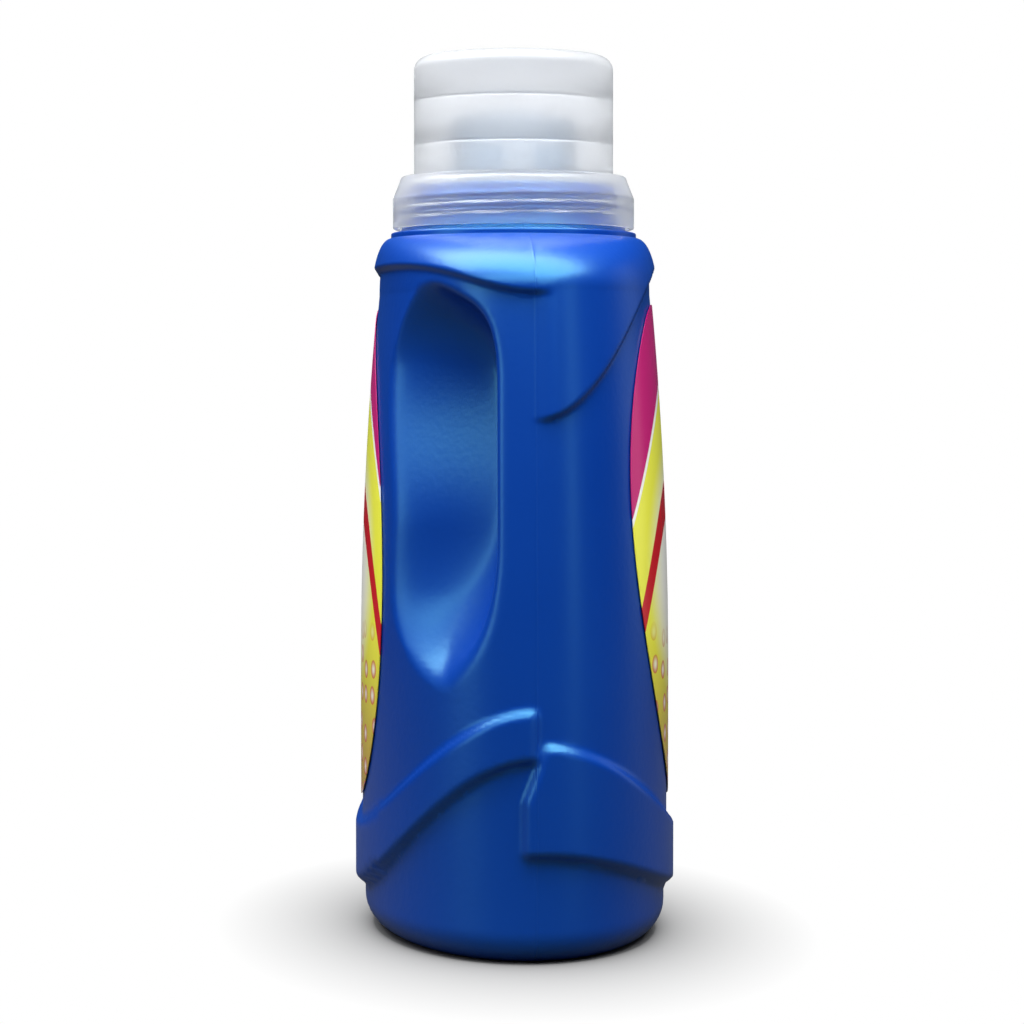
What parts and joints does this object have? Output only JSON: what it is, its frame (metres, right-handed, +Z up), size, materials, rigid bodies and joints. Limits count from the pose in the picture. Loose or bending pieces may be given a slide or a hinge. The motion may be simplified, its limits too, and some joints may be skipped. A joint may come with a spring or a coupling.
{
  "type": "all-purpose cleaner bottle",
  "caption": "Oval blow-moulded bottle with finger recesses at its ends, a wave band at the foot, film labels, a pouring insert and a translucent dosing cap that lifts off.",
  "frame": {"origin": "centre of the base, on the surface that the bottle stands on", "axes": "+Z up along the neck, X across the wide way, Y through the depth with the front label on -Y"},
  "size_m": [0.1522, 0.0948, 0.2591],
  "materials": {
    "bottle_plastic": "satin blown polyethylene, deep blue",
    "insert_plastic": "moulded natural polypropylene",
    "cap_plastic": "moulded translucent polypropylene",
    "label_film": "printed glossy film"
  },
  "bodies": {
    "bottle": {"bottle": "bottle_plastic", "pour_spout": "insert_plastic", "front_label": "label_film", "back_label": "label_film"},
    "cap": {"cap": "cap_plastic"}
  },
  "joints": [
    {"name": "cap_lift", "type": "slide", "parent": "bottle", "child": "cap", "axis": [0, 0, 1], "range_m": [0, 0.06]}
  ]
}
